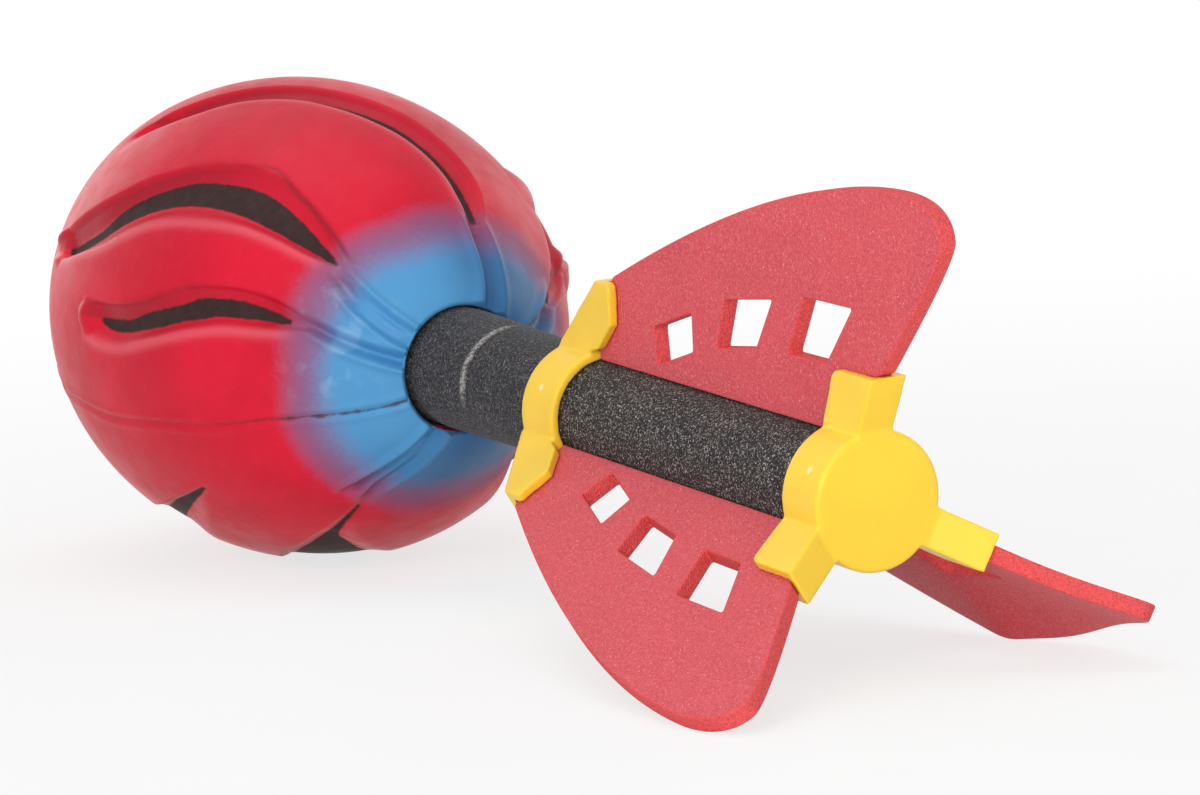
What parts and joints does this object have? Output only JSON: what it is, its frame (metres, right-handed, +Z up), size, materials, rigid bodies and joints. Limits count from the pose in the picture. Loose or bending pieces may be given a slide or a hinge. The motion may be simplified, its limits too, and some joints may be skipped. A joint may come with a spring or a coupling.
{
  "type": "vortex throwing toy",
  "caption": "Foam throwing toy: a grooved egg-shaped ball on a sleeved tube with swept foam fins held between a front holder and a tail cap.",
  "frame": {"origin": "on the floor, at the middle of the toy's overall width and length as it rests", "axes": "+X along the toy from the ball's nose towards the fins, +Z up, +Y completes a right-handed set"},
  "size_m": [0.324, 0.1, 0.0998],
  "materials": {
    "foam_skin": "soft moulded foam skin, satin",
    "core_plastic": "plain extruded tube",
    "grip_foam": "closed-cell foam tube, matt",
    "sleeve_foam": "open-textured foam tube, matt",
    "holder_plastic": "moulded, satin gloss",
    "cap_plastic": "moulded, satin gloss",
    "fin_foam": "foam sheet, matt",
    "fin_foam_left": "foam sheet, matt",
    "fin_foam_right": "foam sheet, matt"
  },
  "bodies": {
    "root": {"foam_head": "foam_skin", "core_tube": "core_plastic", "grip_sleeve": "grip_foam", "fin_sleeve": "sleeve_foam", "fin_collar": "holder_plastic", "tail_cap": "cap_plastic", "fin_top": "fin_foam", "fin_left": "fin_foam_left", "fin_right": "fin_foam_right"}
  },
  "joints": []
}
